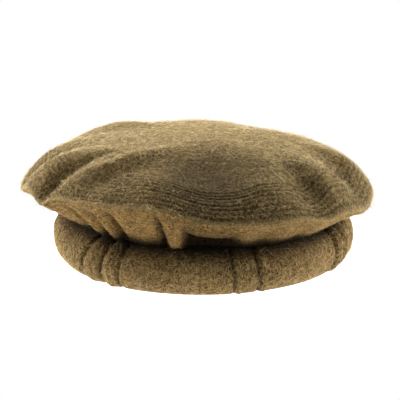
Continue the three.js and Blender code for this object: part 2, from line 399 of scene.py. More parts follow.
# %% [markdown]
# ## The shape of the wall
#
# The wall is drawn as a section that turns round the hat: up the inside of the roll, over its top and
# out to the seam. A curve through a few points of the section keeps it smooth, and a place on the wall is
# a number from 0 at its foot to 10 at its top edge, a whole one at each of these points. The pleats stand
# over the roll, where the tube is gathered, and run out before they reach the seam. "depth" lifts the
# cloth near the roll and "hang" lifts it nearer to the seam, both in shares of the roll's height. Where
# both are negative the cloth hangs down, most of all in the tab, which is made of two rows.
#
# The outer rows of the section lie at the share "out" of the way from the roll's top to the wall's top
# edge. "gather" and "hang" are how much of the pleats' depth and hang they take, and "recede" is how far
# a lifted pleat draws them back in.

# %% Tables of the wall
wall_pleats = table(
    "at spread depth hang",
    (3, 15, 0.27, -0.08),
    (356, 6, 0.1, -0.03),
    (350.7, 2.7, -0.13, -0.06),
    (348, 2.4, -0.12, -0.05),
    (345, 2.2, 0.14, 0.077),
    (337, 7, -0.04, -0.022),
    (328, 2.4, 0.13, 0.072),
    (324, 3, -0.09, -0.05),
    (320, 2.4, 0.08, 0.044),
    (316, 3, -0.07, -0.039),
    (311, 3.4, 0.1, 0.055),
    (304, 4, -0.04, -0.022),
    (297, 4, 0.08, 0.044),
    (288, 6, 0.05, 0.028),
    (22, 8, 0.05, 0.028),
    (38, 5, 0.03, 0.017),
    (62, 6, 0.06, 0.033),
    (84, 5, 0.05, 0.028),
    (105, 6, 0.08, 0.044),
    (128, 5, 0.06, 0.033),
    (150, 7, 0.08, 0.044),
    (173, 5, 0.06, 0.033),
    (196, 6, 0.08, 0.044),
    (218, 5, 0.06, 0.033),
    (240, 7, 0.08, 0.044),
    (264, 5, 0.06, 0.033),
)
foot_angles = [262, 240]  # round the roll, where the wall's cloth runs on into the roll's
wall_angles = [218, 180, 145, 110, 85]  # where it lies against the roll
wall_rows = table(
    "out gather hang recede",
    (0.22, 1, 0, 0.6),
    (0.45, 0.9, 0, 0.35),
    (0.7, 0, 1, 0),
)
welt_in = 2.7 * mm  # from the seam to the wall's top edge, which is sewn under the crown's
welt_down = 1.8 * mm
foot_sink = 0.6 * mm  # how far the wall's foot lies in the roll
crest_lift = 0.35  # of a pleat's lift, where the wall still lies on the roll's top

# %% The wall's outer face as a function


def wall_guides(azimuth):
    """Radius and height of the points that the wall's section runs through, one row for each."""
    rows = [roll_surface(azimuth, angle, -foot_sink) for angle in foot_angles]
    rows += [roll_surface(azimuth, angle, seam_gap) for angle in wall_angles]
    crest_radius, crest_height = rows[-1]
    rim_radius, rim_z = rim_at(azimuth)
    top_radius, top_height = rim_radius - welt_in, rim_z - welt_down
    gather = roll_height * features_at(wall_pleats, "depth", azimuth)
    hang = roll_height * features_at(wall_pleats, "hang", azimuth)
    lifted = np.maximum(gather, 0)
    rows[-1] = (crest_radius, crest_height + crest_lift * lifted)
    for row in wall_rows:
        radius = crest_radius + (top_radius - crest_radius) * row["out"] - row["recede"] * lifted
        height = crest_height + (top_height - crest_height) * row["out"]
        rows.append((radius, height + gather * row["gather"] + hang * row["hang"]))
    rows.append((top_radius, top_height))
    return np.array([radius for radius, _ in rows]), np.array([height for _, height in rows])


def on_curve(guides, place):
    """Values at places along smooth curves through the rows of guides, one column for each point."""
    last = len(guides) - 1
    i = np.clip(np.floor(place).astype(int), 0, last - 1)
    t = place - i
    column = np.arange(guides.shape[1])
    before, start = guides[np.maximum(i - 1, 0), column], guides[i, column]
    end, after = guides[i + 1, column], guides[np.minimum(i + 2, last), column]
    leaving, arriving = (end - before) / 2, (after - start) / 2
    cubic = 2 * start - 2 * end + leaving + arriving
    square = -3 * start + 3 * end - 2 * leaving - arriving
    return start + t * (leaving + t * (square + t * cubic))


def wall_section(azimuth, place):
    """Radius and height on the wall's outer face."""
    radii, heights = wall_guides(azimuth)
    return on_curve(radii, place), on_curve(heights, place)


# %% [markdown]
# ## From a flat grid to a piece of cloth
#
# A dense piece of cloth could be spun from its section, but the section changes all the way round the
# hat. So it starts as a flat grid, as cloth starts on the cutting table: the grid's columns run round the
# hat and its rows run along the section. Each vertex finds its azimuth and its row from its place on
# the grid, and moves to where the functions above put it. The edges that then meet are merged, so that
# the piece is closed, and its faces are turned outwards.
#
# Two masks go along with the shape, a number from 0 to 1 at each vertex. The first makes the wool lighter:
# at the crown's edge partly as wear and partly as a painted highlight, on its top and raised folds as a
# painted highlight, and on the roll's ribs. The second is painted shade: how much darker the colour is
# made in grooves and hollows and where wall and roll touch, because the lamps alone would leave those
# places too light. The loose fibres and the crown's felt read both masks, and the other two felts read
# only the painted shade.

# %% Helpers that make the grid and move it
merge_distance = 1e-6  # in metres


def closer_columns(columns, features, reach, times):
    """Azimuths of a grid's columns, closer together within a reach of each of a table's features."""
    fine = np.linspace(0, 360, 7201)
    near = np.zeros_like(fine)
    for row in features:
        near = np.maximum(near, bell(turn_from(row["at"], fine) / reach))
    passed = np.cumsum(1 + (times - 1) * near)
    passed = (passed - passed[0]) / (passed[-1] - passed[0])
    return np.interp(np.linspace(0, 1, columns + 1), passed, fine)


def flat_grid(azimuths, rows):
    """A flat grid, 1 across each way: a bmesh, and the azimuth and the row number of each vertex."""
    columns = len(azimuths) - 1
    bm = bmesh.new()
    bmesh.ops.create_grid(bm, x_segments=columns, y_segments=rows - 1, size=0.5)
    points = read_points(bm)
    azimuth = azimuths[np.round((points[:, 0] + 0.5) * columns).astype(int)]
    row = np.round((points[:, 1] + 0.5) * (rows - 1)).astype(int)
    return bm, azimuth, row


def read_points(bm):
    """A bmesh's vertices as rows of x, y and z."""
    return np.array([vertex.co for vertex in bm.verts], float)


def finished(bm, points, name, masks):
    """Moves a grid to points, merges the edges that meet, turns its faces out and keeps its masks."""
    for mask, values in masks.items():
        layer = bm.verts.layers.float.new(mask)
        for vertex, value in zip(bm.verts, values.tolist()):
            vertex[layer] = value
    for vertex, point in zip(bm.verts, points.tolist()):
        vertex.co = point
    bmesh.ops.remove_doubles(bm, verts=bm.verts, dist=merge_distance)
    bmesh.ops.recalc_face_normals(bm, faces=bm.faces)
    return piece_from(bm, name)


# %% Helpers that make objects, lumps and masks


def placed_in_scene(name, mesh):
    """A smooth-shaded object in the scene with a mesh."""
    mesh.polygons.foreach_set("use_smooth", np.ones(len(mesh.polygons), bool))
    piece = bpy.data.objects.new(name, mesh)
    bpy.context.scene.collection.objects.link(piece)
    return piece


def piece_from(bm, name):
    """A smooth-shaded object in the scene, made from a bmesh."""
    mesh = bpy.data.meshes.new(name)
    bm.to_mesh(mesh)
    bm.free()
    print(name, len(mesh.vertices), "vertices", len(mesh.polygons), "faces")
    return placed_in_scene(name, mesh)


def wool_noise(points, size):
    """Smooth lumps about a size across, from -1 to 1, at each point."""
    return np.array([noise.noise(place) for place in (points / size).tolist()])


def lumps_at(points, lumps):
    """The felt's unevenness: lumps of a few sizes, added up."""
    return sum(row["height"] * wool_noise(points, row["size"]) for row in lumps)


def add_mask(piece, name, values):
    """Stores one number at each vertex, which a material can read by its name."""
    attribute = piece.data.attributes.new(name, "FLOAT", "POINT")
    attribute.data.foreach_set("value", np.asarray(values, np.float32))


def vertex_mask(mesh, name):
    """A mask's value at each vertex."""
    values = np.empty(len(mesh.vertices))
    mesh.attributes[name].data.foreach_get("value", values)
    return values


# %% [markdown]
# ## The crown panel
#
# On the real hat the panel is a disc of felt with a margin that is doubled and quilted by hand: rows of
# small stitches run round it a few millimetres apart, and each pulls a narrow groove into the felt. The
# rows could be a bump in the material, but they catch the light on the panel's edge, so they are cut
# into the mesh. Felt is never quite even, so slow lumps and small ones finish the surface.

# %% Rows of the panel, from its middle out, round its edge and back under it
quilt_spacing = 3.3 * mm
quilt_rows = 8
quilt_depth = 0.9 * mm
quilt_width = 0.7 * mm
edge_thickness = 1.6 * mm
fine_width = 31 * mm  # how far in from the seam the panel's rows lie close together
crown_steps = 480


def panel_shares(fine, coarse):
    """Shares of the way out, fine steps apart in the margin and coarse ones inside it."""
    margin = np.arange(0, fine_width, fine) / crown_radius
    inside = np.linspace(fine_width / crown_radius, 1, round((crown_radius - fine_width) / coarse))
    return 1 - np.concatenate([margin, inside])[::-1]


outer_shares = panel_shares(0.55 * mm, 3.6 * mm)
under_shares = panel_shares(5 * mm, 8 * mm)
edge_turns = np.linspace(0, 180, 9)[1:-1]
panel_share = np.concatenate([outer_shares, np.ones(len(edge_turns)), under_shares[::-1]])
panel_turn = np.concatenate([0 * outer_shares, edge_turns, 0 * under_shares + 180])
print(len(panel_share), "rows in the crown panel")

# %% The quilted grooves and the margin's thickness
flattest_quilt = 315  # azimuth where the grooves are flattest
flat_reach = 55  # degrees to each side of it
flattening = 0.55  # of the grooves' depth, taken away there


def quilt_wander(azimuth):
    """How far the rows stray from true circles."""
    slow = 0.5 * mm * np.sin(np.radians(azimuth * 5))
    return slow + 0.35 * mm * np.sin(np.radians(azimuth * 13 + 40))


def quilt_relief(azimuth, from_seam):
    """How far the quilting sinks the margin's face."""
    place = (from_seam + quilt_wander(azimuth)) / quilt_spacing
    row = np.round(place)
    away = (place - row) * quilt_spacing
    in_rows = (row >= 1) & (row <= quilt_rows)
    pull = 0.75 + 0.25 * np.sin(np.radians(azimuth * 7) + row * 2.1)
    pull *= 1 - flattening * bell(turn_from(flattest_quilt, azimuth) / flat_reach)
    return in_rows * quilt_depth * pull * np.exp(-((away / quilt_width) ** 2))


def panel_thickness(share):
    """Thicker over the doubled margin, and pressed thinner at the very edge."""
    from_seam = (1 - share) * crown_radius
    single = smooth(from_seam, 0.7 * margin_width, 1.2 * margin_width)
    pressed = 1 - smooth(from_seam, 0, 5 * mm)
    doubled = margin_thickness + (edge_thickness - margin_thickness) * pressed
    return doubled + (cloth_thickness - doubled) * single


# %% The panel's finished outer face
panel_lumps = table(
    "height size",
    (0.9 * mm, 42 * mm),
    (0.28 * mm, 11 * mm),
    (0.12 * mm, 4.5 * mm),
)


def panel_face(azimuth, share):
    """The finished outer face: points, unit vectors along and away from it, and its unevenness."""
    drawn_in = 1 - 0.35 * edge_thickness / crown_radius
    surface = crown_surface(azimuth, share * drawn_in)
    out, away = crown_directions(azimuth, share * drawn_in)
    lumps = lumps_at(surface, panel_lumps) * smooth(share, 0, 0.1)
    relief = lumps - quilt_relief(azimuth, (1 - share) * crown_radius)
    return surface + relief[:, None] * away, out, away, relief


# %% Where the panel is lightened by wear and painted highlight, and where it has painted shade
painted_highlight_width = 125 * mm  # half the width of the top's painted highlight, side to side
painted_highlight_depth = 85 * mm  # half of its size, front to back
painted_highlight_forward = 20 * mm  # how far in front of the frame's middle it lies
full_fold = 0.12  # relief at which a fold counts as fully raised


def panel_masks(azimuth, share, turn, points):
    """The panel's masks: painted highlight on top, on folds and at the worn edge; painted shade in its
    hollows.
    """
    outer = np.cos(turn) > 0.5
    # The rounded edge is lighter, partly as wear and partly as a painted highlight.
    edge = smooth(share, 0.988, 0.996) * np.where(np.cos(turn) > -0.5, 1, 0.4)
    top = bell(np.hypot(points[:, 0] / painted_highlight_width, (points[:, 1] + painted_highlight_forward) / painted_highlight_depth))
    raised = np.clip(crown_relief(azimuth, share) / full_fold, -1, 1)
    # The top and the raised folds are lighter: a painted highlight.
    painted_highlight = np.where(outer, np.clip(0.5 * top + 0.5 * raised, 0, 1), 0)
    # Painted shade in the quilted grooves, in the folds' valleys and at the bottom of the dents.
    grooves = 0.6 * quilt_relief(azimuth, (1 - share) * crown_radius) / quilt_depth
    hollows = 0.2 * np.maximum(-raised, 0) + dents_at("unlit", azimuth, share)
    painted_shade = np.where(outer, np.clip(grooves + hollows, 0, 1), 0)
    return {"worn": np.maximum(edge, 0.65 * painted_highlight), "painted_shade": painted_shade}


# %% Make the crown panel


def make_crown_panel():
    """The panel's two faces and its rounded edge as one closed piece."""
    bm, azimuth, row = flat_grid(np.linspace(0, 360, crown_steps + 1), len(panel_share))
    share = panel_share[row]
    turn = np.radians(panel_turn[row])
    face, out, away, relief = panel_face(azimuth, share)
    uneven = np.where(np.cos(turn) > 0.5, 0, -0.6 * relief)[:, None] * away
    half = panel_thickness(share)[:, None] / 2
    points = face + uneven + half * ((np.cos(turn)[:, None] - 1) * away + np.sin(turn)[:, None] * out)
    return finished(bm, points, "crown_panel", panel_masks(azimuth, share, turn, points))


crown_panel = make_crown_panel()

# %% [markdown]
# ## The gathered wall
#
# The wall is the tube's free stretch between the roll and the seam, and from the head opening it is
# also what one sees inside the hat. Its two faces and its two edges make one closed ring. At its foot
# the cloth grows thin and sinks into the roll, because there it is the roll's own outer turn.

# %% Rows of the wall, up its outer face, over its top edge and down its inner face
wall_steps = 480
tab_at = 349.4  # the one pleat that hangs down over the roll
tab_reach = 4.5
crest_place = 6  # where the wall leaves the roll's top
full_gather = 0.17  # depth at which a pleat's hollow gets its full painted shade
dark_from = 5.4  # place on the wall where the painted shade begins
touch_ends = (6.4, 7.7)  # places between which the painted shade along the contact line runs out
hollow_ends = (8.6, 10.1)  # and the hollows'
last_guide = len(foot_angles) + len(wall_angles) + len(wall_rows)
wall_up = np.concatenate([np.linspace(0, crest_place, 26), np.linspace(crest_place, last_guide, 30)[1:]])
wall_over = np.linspace(0, 180, 7)[1:-1]
wall_inside = np.concatenate([np.linspace(0, crest_place, 20), np.linspace(crest_place, last_guide, 14)[1:]])
wall_down = wall_inside[::-1]
wall_place = np.concatenate([wall_up, np.full(len(wall_over), float(last_guide)), wall_down, [0]])
wall_turn = np.concatenate([0 * wall_up, wall_over, 0 * wall_down + 180, [0]])
print(len(wall_place), "rows in the wall")

# %% Where the wall has painted shade


def wall_masks(azimuth, place):
    """The wall's masks: nothing lightened, and painted shade in the pleats' hollows and where it touches the
    roll.
    """
    recess = np.clip(features_at(wall_pleats, "depth", azimuth) / full_gather, 0, 1)
    low_down = 1 - smooth(place, *hollow_ends)
    beside_tab = 1 - 0.9 * bell(turn_from(tab_at, azimuth) / tab_reach)
    touching = (1 - smooth(place, *touch_ends)) * beside_tab
    painted_shade = np.where(place > dark_from, np.maximum(recess * low_down, touching), 0)
    return {"worn": 0 * painted_shade, "painted_shade": painted_shade}


# %% Make the wall
wall_lumps = table(
    "height size",
    (0.3 * mm, 14 * mm),
    (0.15 * mm, 5 * mm),
)


def wall_direction(azimuth, place):
    """Unit vectors up along the wall's section, as outward and upward parts."""
    step = 0.01
    behind = np.maximum(place - step, 0)
    start, end = wall_section(azimuth, behind), wall_section(azimuth, behind + step)
    along = np.stack([end[0] - start[0], end[1] - start[1]])
    return along / np.hypot(*along)


def make_crown_wall():
    """The wall's two faces and its top edge as one closed ring."""
    columns = closer_columns(wall_steps, wall_pleats, reach=5, times=1.6)
    bm, azimuth, row = flat_grid(columns, len(wall_place))
    place = wall_place[row]
    turn = np.radians(wall_turn[row])
    radius, height = wall_section(azimuth, place)
    along = wall_direction(azimuth, place)
    half = cloth_thickness / 2 * smooth(place, 0, 2) + 0.05 * mm
    into = half * (1 - np.cos(turn))
    beyond = half * np.sin(turn)
    radius = radius - along[1] * into + along[0] * beyond
    height = height + along[0] * into + along[1] * beyond
    points = placed(azimuth, radius, height)
    away = placed(azimuth, radius + 1, height) - points
    free = smooth(place, crest_place, crest_place + 1)
    points += (lumps_at(points, wall_lumps) * free)[:, None] * away
    points[:, 2] = np.maximum(points[:, 2], 0)
    return finished(bm, points, "gathered_wall", wall_masks(azimuth, place))


gathered_wall = make_crown_wall()

# %% [markdown]
# ## The roll
#
# The outermost turn of the roll is what shows. It is a padded ring rather than a sheet: the layers under
# it press it outwards and leave only the grooves, where they gather, and shallow dimples. The sole stays
# flat, because the hat's weight rests on it.

# %% [markdown]
# ### How far the padding pushes the roll out
#
# The wound layers press on the roll's outermost turn, and it bulges wherever no gather holds it. The
# bulge could be one more table of numbers, but a short cloth simulation finds it by itself. A coarse
# ring of cloth has the roll's plain section. It is held at its sole, at its inner face and along its
# grooves, and then blown up from inside. Only how far it moved is kept, and goes into the fine mesh.

# %% Blow up a coarse ring of cloth
puff_columns = 240
puff_rows = 36
puff_frames = 12
puff_pressure = 5000
puff_mass = 0.0001  # of cloth at each vertex, in kg
puff_stretch = 0.01 * mm  # how much higher and lower the ring starts than the plain roll
puff_limit = 1.4 * mm
groove_hold = 3  # degrees to each side of a groove that it holds in
inner_hold = -0.3  # cosine round the section below which the inner face is held
sole_hold = -0.75  # sine below which the sole is held


def outward(azimuth, turn):
    """Unit vectors away from the middle of the roll's section."""
    away = placed(azimuth, np.cos(turn), 0) - placed(azimuth, 0 * turn, 0)
    away[:, 2] = np.sin(turn)
    return away


def settle(ring):
    """Runs the cloth simulation on a ring with a vertex group called held: its points at the last frame."""
    cloth = ring.modifiers.new("blown", "CLOTH")
    cloth.settings.quality = 6
    cloth.settings.mass = puff_mass
    cloth.settings.vertex_group_mass = "held"
    cloth.settings.use_pressure = True
    cloth.settings.uniform_pressure_force = puff_pressure
    cloth.settings.effector_weights.gravity = 0
    cloth.collision_settings.use_collision = False
    cloth.point_cache.frame_end = puff_frames
    for frame_number in range(1, puff_frames + 1):
        bpy.context.scene.frame_set(frame_number)
    settled = ring.evaluated_get(bpy.context.evaluated_depsgraph_get()).data
    points = vertex_vectors(settled, "co")
    bpy.context.scene.frame_set(1)
    return points


# %% Measure how far the ring is blown out


def hold(ring, azimuth, turn):
    """The vertex group called held: the sole, the inner face and the grooves."""
    held = np.maximum(np.cos(turn) < inner_hold, np.sin(turn) < sole_hold).astype(float)
    for groove in roll_grooves:
        held = np.maximum(held, bell(turn_from(groove["at"], azimuth) / groove_hold))
    group = ring.vertex_groups.new(name="held")
    for index, weight in enumerate(held.tolist()):
        group.add([index], weight, "REPLACE")


def blown_ring():
    """How far the ring moves outwards, one value for each of its columns and rows."""
    bm, azimuth, row = flat_grid(np.linspace(0, 360, puff_columns + 1), puff_rows + 1)
    angle = row * 360 / puff_rows
    column = np.round(azimuth * puff_columns / 360) % puff_columns
    points = placed(azimuth, *roll_surface(azimuth, angle, 0))
    points[:, 2] += puff_stretch * np.sin(np.radians(angle))
    ring = finished(bm, points, "blown_ring", {"column": column, "row": row % puff_rows})
    column = vertex_mask(ring.data, "column").astype(int)
    row = vertex_mask(ring.data, "row").astype(int)
    azimuth, turn = column * 360 / puff_columns, np.radians(row * 360 / puff_rows)
    hold(ring, azimuth, turn)
    start = vertex_vectors(ring.data, "co")
    moved = ((settle(ring) - start) * outward(azimuth, turn)).sum(1)
    puff = np.zeros((puff_columns, puff_rows))
    puff[column, row] = moved
    mesh = ring.data
    bpy.data.objects.remove(ring)
    bpy.data.meshes.remove(mesh)
    most, average = (moved.max() / mm).round(2), (moved.mean() / mm).round(2)
    print("blown out by up to", most, "mm, on average", average, "mm")
    return puff


def puff_at(puff, azimuth, angle):
    """The blown ring's movement at any place, between its columns and rows and up to its limit."""
    across, along = azimuth * puff_columns / 360, angle * puff_rows / 360
    column, row = np.floor(across).astype(int), np.floor(along).astype(int)
    part, share = across - column, along - row
    total = 0
    for near, weight in ((0, 1 - part), (1, part)):
        for next_row, height in ((0, 1 - share), (1, share)):
            corner = puff[(column + near) % puff_columns, (row + next_row) % puff_rows]
            total = total + weight * height * corner
    return np.clip(total, -puff_limit, puff_limit)


roll_puff = blown_ring()

# %% Make the roll
roll_rows_round = 76
roll_steps = 720
roll_lumps = table(
    "height size",
    (0.7 * mm, 26 * mm),
    (0.3 * mm, 9 * mm),
    (0.14 * mm, 4 * mm),
)
gather_height = 0.16 * mm  # of the fine gathers that run across the roll
gather_circle = 60  # radius of the circle in the noise that they are read from: larger is finer
gather_run = 600  # higher makes them change less from the roll's foot to its top
full_groove, full_rib = 0.09, 0.04  # depths at which the masks are full
shadow_at, shadow_reach = 84, 68  # of the wall's painted shadow, in degrees round the roll's section


def roll_masks(azimuth, angle):
    """The roll's masks: lighter on its ribs, and painted shade in its grooves and under the wall."""
    outside = outer_side(np.radians(angle))
    in_groove = np.clip(features_at(roll_grooves, "depth", azimuth) / full_groove, 0, 1) * outside
    on_rib = np.clip(-features_at(roll_ribs, "depth", azimuth) / full_rib, 0, 1) * outside
    under_wall = bell((angle - shadow_at) / shadow_reach)
    return {"worn": 0.35 * on_rib, "painted_shade": np.maximum(in_groove * 0.8, under_wall)}


def make_roll():
    """The roll's outermost turn as one closed ring."""
    columns = closer_columns(roll_steps, roll_grooves, reach=5, times=2.6)
    bm, azimuth, row = flat_grid(columns, roll_rows_round + 1)
    angle = row * 360 / roll_rows_round
    points = grooved_surface(azimuth, angle)
    turn = np.radians(angle)
    away = outward(azimuth, turn)
    free = smooth(points[:, 2], 0, 4 * mm)
    lumps = lumps_at(points, roll_lumps)
    round_hat = np.radians(azimuth)
    circle = gather_circle * np.stack([np.cos(round_hat), np.sin(round_hat), angle / gather_run], axis=-1)
    gathers = gather_height * wool_noise(circle, 1)
    puff = puff_at(roll_puff, azimuth, angle)
    points += ((lumps + gathers + puff) * free)[:, None] * away
    points[:, 2] = np.maximum(points[:, 2], 0)
    return finished(bm, points, "roll", roll_masks(azimuth, angle))


roll = make_roll()

# %% [markdown]
# ## Wool for the materials
#
# Felt is a mat of wool fibres. Close up it shows short curly strands, lighter and darker than the cloth
# between them, and from further away it is a little cloudy. The three felts share one node group for
# that, so its parts are built once. Thin curly strands come from noise whose middle value is picked out:
# the places where it is close to one half lie on winding lines.

# %% Node helpers


def calculate(tree, operation, first, second):
    """A math node's result. Each operand is a number or a socket."""
    node = tree.nodes.new("ShaderNodeMath")
    node.operation = operation
    for slot, operand in zip(node.inputs, (first, second)):
        if isinstance(operand, (int, float)):
            slot.default_value = operand
        else:
            tree.links.new(operand, slot)
    return node.outputs[0]


def mix_colours(tree, share, first, second):
    """A colour between two. Each of the three is a value or a socket."""
    node = tree.nodes.new("ShaderNodeMix")
    node.data_type = "RGBA"
    for slot, operand in ((node.inputs[0], share), (node.inputs[6], first), (node.inputs[7], second)):
        if isinstance(operand, (int, float)) or isinstance(operand, tuple):
            slot.default_value = operand
        else:
            tree.links.new(operand, slot)
    return node.outputs[2]


def spread_out(tree, value, low, high):
    """The stretch of a value from low to high, drawn out to 0 to 1."""
    node = tree.nodes.new("ShaderNodeMapRange")
    node.interpolation_type = "SMOOTHSTEP"
    node.inputs["From Min"].default_value = low
    node.inputs["From Max"].default_value = high
    tree.links.new(value, node.inputs["Value"])
    return node.outputs["Result"]


# %% The wool group


def new_group(name, inputs, outputs):
    """An empty shader node group with its sockets."""
    group = bpy.data.node_groups.new(name, "ShaderNodeTree")
    for label, kind in inputs:
        group.interface.new_socket(label, in_out="INPUT", socket_type=kind)
    for label, kind in outputs:
        group.interface.new_socket(label, in_out="OUTPUT", socket_type=kind)
    return group, group.nodes.new("NodeGroupInput"), group.nodes.new("NodeGroupOutput")


def noise_at(tree, place, scale, detail=2.0, roughness=0.5, distortion=0.0):
    """Noise with features about one metre over its scale across."""
    node = tree.nodes.new("ShaderNodeTexNoise")
    node.inputs["Scale"].default_value = scale
    node.inputs["Detail"].default_value = detail
    node.inputs["Roughness"].default_value = roughness
    node.inputs["Distortion"].default_value = distortion
    tree.links.new(place, node.inputs["Vector"])
    return node.outputs["Fac"]


def strands_at(tree, place, scale, width):
    """Winding lines where noise is close to one half, 1 on a line and 0 off it."""
    value = noise_at(tree, place, scale, detail=1.0, distortion=0.6)
    off = calculate(tree, "ABSOLUTE", calculate(tree, "SUBTRACT", value, 0.5), 0.0)
    return calculate(tree, "SUBTRACT", 1.0, spread_out(tree, off, 0.0, width))


# %% The wool group's noise and its colours
wool_scales = {"cloud": 38, "grain": 420, "broad": 280, "fine": 560, "dark": 200}
unlit_wool = (0.012, 0.008, 0.004, 1)


def wool_noises(tree, place):
    """The noises that wool is mixed from, from 0 to 1: clouds, grain, and broad, fine and dark strands."""
    cloud = noise_at(tree, place, wool_scales["cloud"], detail=3.0, roughness=0.6)
    grain = noise_at(tree, place, wool_scales["grain"], detail=3.0, roughness=0.7)
    return (
        spread_out(tree, cloud, 0.32, 0.68),
        spread_out(tree, grain, 0.36, 0.64),
        strands_at(tree, place, wool_scales["broad"], 0.07),
        strands_at(tree, place, wool_scales["fine"], 0.09),
        strands_at(tree, place, wool_scales["dark"], 0.08),
    )


def make_wool_group():
    """The group that every felt shares: it turns three colours and two masks into a colour and a height."""
    inputs = [
        ("Place", "NodeSocketVector"),
        ("Shade", "NodeSocketColor"),
        ("Cloth", "NodeSocketColor"),
        ("Strands", "NodeSocketColor"),
        ("Worn", "NodeSocketFloat"),
        ("Painted_shade", "NodeSocketFloat"),
    ]
    group, given, result = new_group(
        "matted_wool", inputs, [("Color", "NodeSocketColor"), ("Height", "NodeSocketFloat")]
    )
    shade, strands = given.outputs["Shade"], given.outputs["Strands"]
    cloud, grain, broad, fine, dark = wool_noises(group, given.outputs["Place"])

    def times(value, factor):
        return calculate(group, "MULTIPLY", value, factor)

    body = mix_colours(group, grain, shade, given.outputs["Cloth"])
    body = mix_colours(group, times(cloud, 0.22), body, strands)
    body = mix_colours(group, times(dark, 0.8), body, shade)
    curls = calculate(group, "MAXIMUM", times(broad, 0.85), times(fine, 0.5))
    # The lightening mask draws the colour towards the strands': wear and painted highlight.
    wear_and_highlight_share = calculate(group, "ADD", times(grain, 0.5), 0.45)
    curls = calculate(group, "MAXIMUM", curls, times(given.outputs["Worn"], wear_and_highlight_share))
    colour = mix_colours(group, curls, body, strands)
    # Painted shade: the colour is drawn towards unlit wool.
    colour = mix_colours(group, times(given.outputs["Painted_shade"], 0.96), colour, unlit_wool)
    height = calculate(group, "ADD", times(broad, 0.5), times(fine, 0.3))
    height = calculate(group, "ADD", height, times(grain, 0.4))
    group.links.new(colour, result.inputs["Color"])
    group.links.new(height, result.inputs["Height"])
    return group


matted_wool = make_wool_group()
print("wool group with", len(matted_wool.nodes), "nodes")

# %% [markdown]
# ## Felt
#
# The shader itself stays in each material: rough, with a soft sheen from the fibres that stand up. The
# three pieces are the same felt. The crown's is lighter on its top and folds as a painted highlight, and at
# its edge partly from wear. The wall's is lighter and more golden, which is painted bounce light from the
# table, and the roll is the most matted.

# %% Helpers that make materials


def new_material(name, roughness, specular):
    """A new material, its node tree and its shader."""
    material = bpy.data.materials.new(name)
    material.use_nodes = True
    shader = material.node_tree.nodes["Principled BSDF"]
    shader.inputs["Roughness"].default_value = roughness
    shader.inputs["Specular IOR Level"].default_value = specular
    return material, material.node_tree, shader


def add_sheen(shader, weight, roughness, tint):
    """The soft light that fibres standing up throw back."""
    shader.inputs["Sheen Weight"].default_value = weight
    shader.inputs["Sheen Roughness"].default_value = roughness
    shader.inputs["Sheen Tint"].default_value = tint


def make_felt(name, shade, cloth, strands, sheen, masks):
    """A felt material with its own colours, which reads some of the masks."""
    material, tree, shader = new_material(name, 0.95, 0.15)
    add_sheen(shader, sheen, 0.35, (1, 0.8, 0.5, 1))
    place = tree.nodes.new("ShaderNodeTexCoord")
    wool = tree.nodes.new("ShaderNodeGroup")
    wool.node_tree = matted_wool
    tree.links.new(place.outputs["Object"], wool.inputs["Place"])
    wool.inputs["Shade"].default_value = shade
    wool.inputs["Cloth"].default_value = cloth
    wool.inputs["Strands"].default_value = strands
    for mask in masks:
        value = tree.nodes.new("ShaderNodeAttribute")
        value.attribute_name = mask
        tree.links.new(value.outputs["Fac"], wool.inputs[mask.capitalize()])
    relief = tree.nodes.new("ShaderNodeBump")
    relief.inputs["Strength"].default_value = 1
    relief.inputs["Distance"].default_value = 0.9 * mm
    tree.links.new(wool.outputs["Height"], relief.inputs["Height"])
    tree.links.new(wool.outputs["Color"], shader.inputs["Base Color"])
    tree.links.new(relief.outputs["Normal"], shader.inputs["Normal"])
    return material


# %% Give each piece its felt
crown_felt = make_felt(
    "crown_felt_with_painted_highlight",
    shade=(0.025, 0.017, 0.006, 1),
    cloth=(0.145, 0.093, 0.03, 1),
    strands=(0.64, 0.435, 0.175, 1),
    sheen=0.08,
    masks=["worn", "painted_shade"],
)
# The wall's felt is lighter and more golden than the other two: painted bounce light from the table.
wall_felt = make_felt(
    "wall_felt_with_painted_bounce_light",
    shade=(0.07, 0.036, 0.009, 1),
    cloth=(0.33, 0.187, 0.05, 1),
    strands=(0.78, 0.48, 0.165, 1),
    sheen=0.1,
    masks=["painted_shade"],
)
roll_felt = make_felt(
    "matted_roll_felt",
    shade=(0.025, 0.015, 0.005, 1),
    cloth=(0.135, 0.082, 0.026, 1),
    strands=(0.62, 0.4, 0.15, 1),
    sheen=0.15,
    masks=["painted_shade"],
)
for piece, felt in ((crown_panel, crown_felt), (gathered_wall, wall_felt), (roll, roll_felt)):
    piece.data.materials.append(felt)
    print(piece.name, "wears", felt.name)

# %% [markdown]
# ## Loose fibres
#
# What makes felt look like felt is its fuzz: short curly fibres that stand off its face and soften its
# outline. A particle system could grow them, but they would be lost when the model is exported, so each
# fibre is a little mesh. One fibre is made with operators, as a thin cone with three sides that is cut
# across a few times where it has to bend, and many copies of it are laid over a piece.

# %% One fibre, and a piece made of copies


def points_and_faces(bm):
    """A triangulated bmesh's vertices and faces as arrays. The bmesh is freed."""
    bm.verts.index_update()
    points = read_points(bm)
    faces = np.array([[vertex.index for vertex in face.verts] for face in bm.faces], int)
    bm.free()
    return points, faces


def make_fibre(bends):
    """A thin three-sided spike of length 1 along z that can bend in places: its vertices and faces."""
    bm = bmesh.new()
    bmesh.ops.create_cone(bm, cap_ends=True, segments=3, radius1=1, radius2=0, depth=1)
    bmesh.ops.translate(bm, verts=bm.verts, vec=(0, 0, 0.5))
    bmesh.ops.remove_doubles(bm, verts=bm.verts, dist=merge_distance)
    if bends:
        tip = max(bm.verts, key=lambda vertex: vertex.co.z)
        bmesh.ops.subdivide_edges(bm, edges=tip.link_edges[:], cuts=bends, use_grid_fill=True)
    bmesh.ops.triangulate(bm, faces=bm.faces)
    bmesh.ops.recalc_face_normals(bm, faces=bm.faces)
    return points_and_faces(bm)


